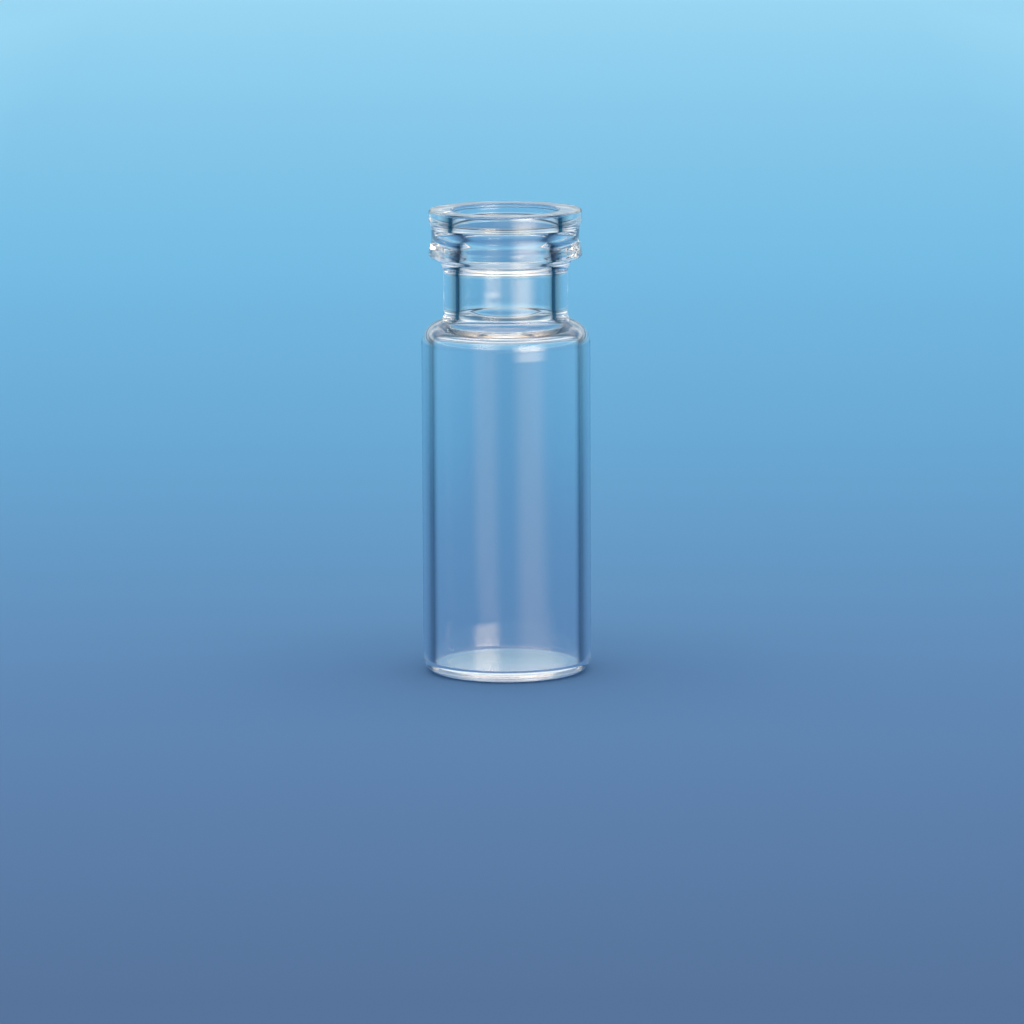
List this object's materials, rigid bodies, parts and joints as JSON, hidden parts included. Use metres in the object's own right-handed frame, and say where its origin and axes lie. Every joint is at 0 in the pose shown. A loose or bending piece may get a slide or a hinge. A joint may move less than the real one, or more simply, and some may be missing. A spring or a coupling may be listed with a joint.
{
  "type": "glass sample vial",
  "caption": "Small clear glass vial with a drawn-in neck and an open, beaded mouth, for holding and sealing a liquid sample.",
  "frame": {"origin": "centre of the base, on the surface that the vial stands on", "axes": "+Z along the vial's axis, from the base to the mouth; the form is turned, so +X and +Y are alike"},
  "size_m": [0.0116, 0.0116, 0.032],
  "materials": {
    "glass": "clear, drawn and fire-polished"
  },
  "bodies": {
    "root": {"vial": "glass"}
  },
  "joints": []
}
